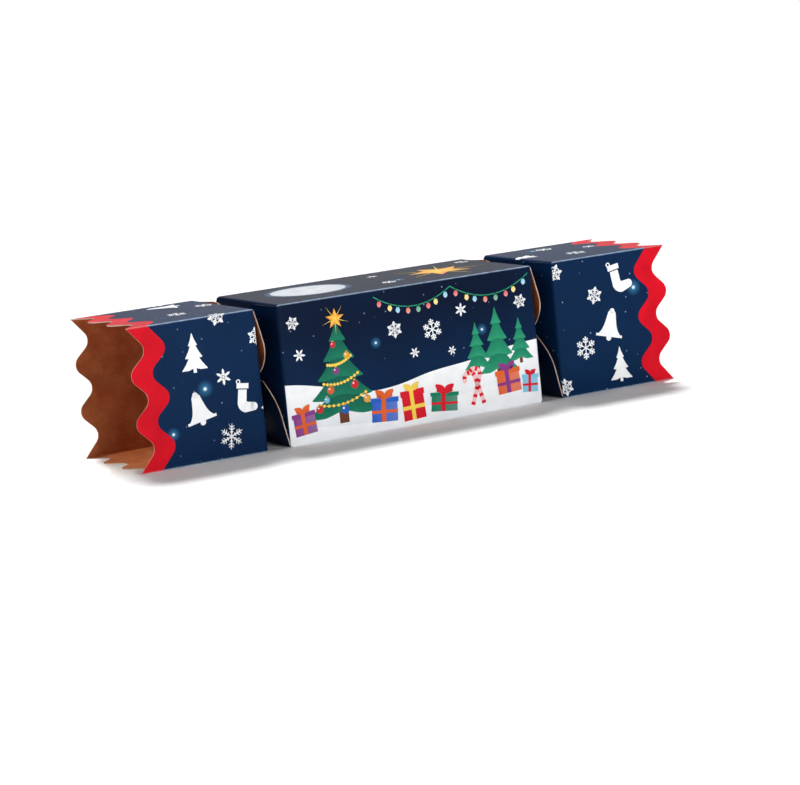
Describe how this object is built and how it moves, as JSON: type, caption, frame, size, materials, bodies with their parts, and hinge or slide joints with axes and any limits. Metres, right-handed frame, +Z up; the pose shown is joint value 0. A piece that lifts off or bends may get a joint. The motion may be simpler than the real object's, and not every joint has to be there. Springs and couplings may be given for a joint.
{
  "type": "christmas cracker box",
  "caption": "Folded-card Christmas cracker box: a square centre box between two open wavy-ended sleeves, with pinched necks that stretch when pulled and treats packed inside.",
  "frame": {"origin": "on the table under the middle of the centre box", "axes": "+X along the cracker towards the right sleeve, -Y out of the front panel, +Z up"},
  "size_m": [0.3012, 0.07, 0.07],
  "materials": {
    "printed_board": "satin laminated navy print on carton board",
    "kraft_board": "uncoated brown kraft inside of the board",
    "biscuit": "baked oat biscuit",
    "chew": "wrinkled dried chew",
    "kibble": "baked reddish brown crumb"
  },
  "bodies": {
    "centre_box": {"centre_front_panel": "printed_board", "centre_top_panel": "printed_board", "centre_back_panel": "printed_board", "centre_bottom_panel": "printed_board", "centre_glue_flap": "kraft_board", "lower_tree_biscuit": "biscuit", "upper_tree_biscuit": "biscuit", "front_chew_stick": "chew", "middle_chew_stick": "chew", "rear_chew_stick": "chew", "kibble_pieces": "kibble"},
    "left_sleeve": {"left_front_panel": "printed_board", "left_top_panel": "printed_board", "left_back_panel": "printed_board", "left_bottom_panel": "printed_board", "left_glue_flap": "kraft_board"},
    "left_neck_front_inner": {"left_neck_front_inner_flap": "printed_board"},
    "left_neck_front_outer": {"left_neck_front_outer_flap": "printed_board"},
    "left_neck_top_inner": {"left_neck_top_inner_flap": "printed_board"},
    "left_neck_top_outer": {"left_neck_top_outer_flap": "printed_board"},
    "left_neck_back_inner": {"left_neck_back_inner_flap": "printed_board"},
    "left_neck_back_outer": {"left_neck_back_outer_flap": "printed_board"},
    "left_neck_bottom_inner": {"left_neck_bottom_inner_flap": "printed_board"},
    "left_neck_bottom_outer": {"left_neck_bottom_outer_flap": "printed_board"},
    "right_sleeve": {"right_front_panel": "printed_board", "right_top_panel": "printed_board", "right_back_panel": "printed_board", "right_bottom_panel": "printed_board", "right_glue_flap": "kraft_board"},
    "right_neck_front_inner": {"right_neck_front_inner_flap": "printed_board"},
    "right_neck_front_outer": {"right_neck_front_outer_flap": "printed_board"},
    "right_neck_top_inner": {"right_neck_top_inner_flap": "printed_board"},
    "right_neck_top_outer": {"right_neck_top_outer_flap": "printed_board"},
    "right_neck_back_inner": {"right_neck_back_inner_flap": "printed_board"},
    "right_neck_back_outer": {"right_neck_back_outer_flap": "printed_board"},
    "right_neck_bottom_inner": {"right_neck_bottom_inner_flap": "printed_board"},
    "right_neck_bottom_outer": {"right_neck_bottom_outer_flap": "printed_board"}
  },
  "joints": [
    {"name": "left_pull", "type": "slide", "parent": "centre_box", "child": "left_sleeve", "axis": [-1, 0, 0], "range_m": [0, 0.018]},
    {"name": "left_neck_front_inner_crease", "type": "hinge", "parent": "centre_box", "child": "left_neck_front_inner", "pos_m": [-0.0713, -0.03475, 0.035], "axis": [0, 0, 1], "range_deg": [0, 20]},
    {"name": "left_neck_front_outer_crease", "type": "hinge", "parent": "left_sleeve", "child": "left_neck_front_outer", "pos_m": [-0.0836, -0.03475, 0.035], "axis": [0, 0, -1], "range_deg": [0, 20]},
    {"name": "left_neck_top_inner_crease", "type": "hinge", "parent": "centre_box", "child": "left_neck_top_inner", "pos_m": [-0.0713, 0, 0.06975], "axis": [0, 1, 0], "range_deg": [0, 20]},
    {"name": "left_neck_top_outer_crease", "type": "hinge", "parent": "left_sleeve", "child": "left_neck_top_outer", "pos_m": [-0.0836, 0, 0.06975], "axis": [0, -1, 0], "range_deg": [0, 20]},
    {"name": "left_neck_back_inner_crease", "type": "hinge", "parent": "centre_box", "child": "left_neck_back_inner", "pos_m": [-0.0713, 0.03475, 0.035], "axis": [0, 0, -1], "range_deg": [0, 20]},
    {"name": "left_neck_back_outer_crease", "type": "hinge", "parent": "left_sleeve", "child": "left_neck_back_outer", "pos_m": [-0.0836, 0.03475, 0.035], "axis": [0, 0, 1], "range_deg": [0, 20]},
    {"name": "left_neck_bottom_inner_crease", "type": "hinge", "parent": "centre_box", "child": "left_neck_bottom_inner", "pos_m": [-0.0713, 0, 0.00025], "axis": [0, -1, 0], "range_deg": [0, 20]},
    {"name": "left_neck_bottom_outer_crease", "type": "hinge", "parent": "left_sleeve", "child": "left_neck_bottom_outer", "pos_m": [-0.0836, 0, 0.00025], "axis": [0, 1, 0], "range_deg": [0, 20]},
    {"name": "right_pull", "type": "slide", "parent": "centre_box", "child": "right_sleeve", "axis": [1, 0, 0], "range_m": [0, 0.018]},
    {"name": "right_neck_front_inner_crease", "type": "hinge", "parent": "centre_box", "child": "right_neck_front_inner", "pos_m": [0.0713, -0.03475, 0.035], "axis": [0, 0, -1], "range_deg": [0, 20]},
    {"name": "right_neck_front_outer_crease", "type": "hinge", "parent": "right_sleeve", "child": "right_neck_front_outer", "pos_m": [0.0836, -0.03475, 0.035], "axis": [0, 0, 1], "range_deg": [0, 20]},
    {"name": "right_neck_top_inner_crease", "type": "hinge", "parent": "centre_box", "child": "right_neck_top_inner", "pos_m": [0.0713, 0, 0.06975], "axis": [0, -1, 0], "range_deg": [0, 20]},
    {"name": "right_neck_top_outer_crease", "type": "hinge", "parent": "right_sleeve", "child": "right_neck_top_outer", "pos_m": [0.0836, 0, 0.06975], "axis": [0, 1, 0], "range_deg": [0, 20]},
    {"name": "right_neck_back_inner_crease", "type": "hinge", "parent": "centre_box", "child": "right_neck_back_inner", "pos_m": [0.0713, 0.03475, 0.035], "axis": [0, 0, 1], "range_deg": [0, 20]},
    {"name": "right_neck_back_outer_crease", "type": "hinge", "parent": "right_sleeve", "child": "right_neck_back_outer", "pos_m": [0.0836, 0.03475, 0.035], "axis": [0, 0, -1], "range_deg": [0, 20]},
    {"name": "right_neck_bottom_inner_crease", "type": "hinge", "parent": "centre_box", "child": "right_neck_bottom_inner", "pos_m": [0.0713, 0, 0.00025], "axis": [0, 1, 0], "range_deg": [0, 20]},
    {"name": "right_neck_bottom_outer_crease", "type": "hinge", "parent": "right_sleeve", "child": "right_neck_bottom_outer", "pos_m": [0.0836, 0, 0.00025], "axis": [0, -1, 0], "range_deg": [0, 20]}
  ],
  "couplings": [
    {"joint": "left_neck_front_inner_crease", "follows": "left_pull", "rad_per_m": 14.815},
    {"joint": "left_neck_front_outer_crease", "follows": "left_pull", "rad_per_m": 14.815},
    {"joint": "left_neck_top_inner_crease", "follows": "left_pull", "rad_per_m": 14.815},
    {"joint": "left_neck_top_outer_crease", "follows": "left_pull", "rad_per_m": 14.815},
    {"joint": "left_neck_back_inner_crease", "follows": "left_pull", "rad_per_m": 14.815},
    {"joint": "left_neck_back_outer_crease", "follows": "left_pull", "rad_per_m": 14.815},
    {"joint": "left_neck_bottom_inner_crease", "follows": "left_pull", "rad_per_m": 14.815},
    {"joint": "left_neck_bottom_outer_crease", "follows": "left_pull", "rad_per_m": 14.815},
    {"joint": "right_neck_front_inner_crease", "follows": "right_pull", "rad_per_m": 14.815},
    {"joint": "right_neck_front_outer_crease", "follows": "right_pull", "rad_per_m": 14.815},
    {"joint": "right_neck_top_inner_crease", "follows": "right_pull", "rad_per_m": 14.815},
    {"joint": "right_neck_top_outer_crease", "follows": "right_pull", "rad_per_m": 14.815},
    {"joint": "right_neck_back_inner_crease", "follows": "right_pull", "rad_per_m": 14.815},
    {"joint": "right_neck_back_outer_crease", "follows": "right_pull", "rad_per_m": 14.815},
    {"joint": "right_neck_bottom_inner_crease", "follows": "right_pull", "rad_per_m": 14.815},
    {"joint": "right_neck_bottom_outer_crease", "follows": "right_pull", "rad_per_m": 14.815}
  ]
}
